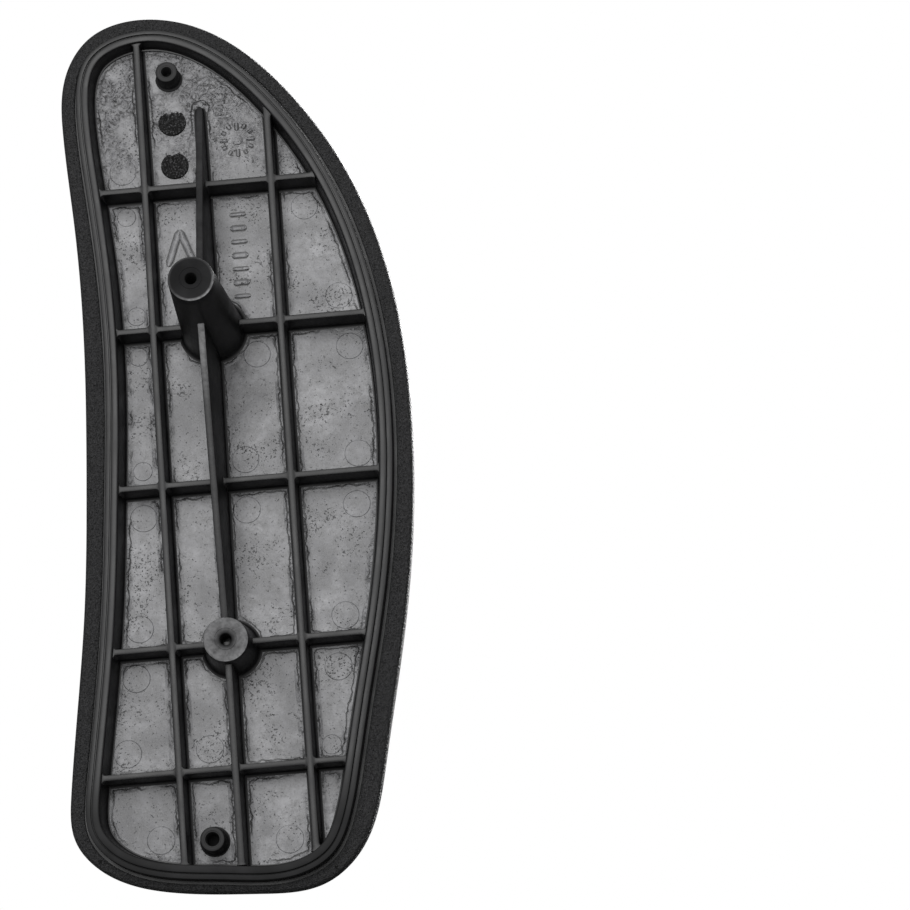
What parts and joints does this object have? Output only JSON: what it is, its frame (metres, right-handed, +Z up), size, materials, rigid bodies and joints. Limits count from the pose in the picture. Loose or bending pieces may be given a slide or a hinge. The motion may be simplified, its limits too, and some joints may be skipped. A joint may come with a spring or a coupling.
{
  "type": "chair armrest pad",
  "caption": "Curved right-hand armrest pad: soft polyurethane top moulded round a ribbed nylon insert with two screw bosses underneath.",
  "frame": {"origin": "mouth of the front screw hole, at the centre of the tall boss's end face", "axes": "+Z up, towards the padded top; +Y along the pad, parallel to the boss line, towards the narrow front end; the outline bulges towards -X"},
  "size_m": [0.0988, 0.2504, 0.066],
  "materials": {
    "pad_skin": "fine-grained black self-skinning polyurethane with a soft sheen",
    "foam": "black polyurethane foam",
    "nylon": "black moulded nylon, satin",
    "nylon_floor": "black moulded nylon, glossy with flow marks"
  },
  "bodies": {
    "root": {"cross_rib_1": "nylon", "cross_rib_2": "nylon", "cross_rib_3": "nylon", "cross_rib_4": "nylon", "cross_rib_5": "nylon", "foam_core": "foam", "foam_lock_front": "foam", "foam_lock_rear": "foam", "foam_rim": "foam", "front_locating_boss": "nylon", "inner_long_rib": "nylon", "insert_floor": "nylon_floor", "insert_wall": "nylon", "outer_long_rib": "nylon", "pad_skin": "pad_skin", "rear_locating_boss": "nylon", "short_boss": "nylon", "spine_front_gusset": "nylon", "spine_rear_gusset": "nylon", "spine_tail_rib": "nylon", "tall_boss": "nylon"}
  },
  "joints": []
}
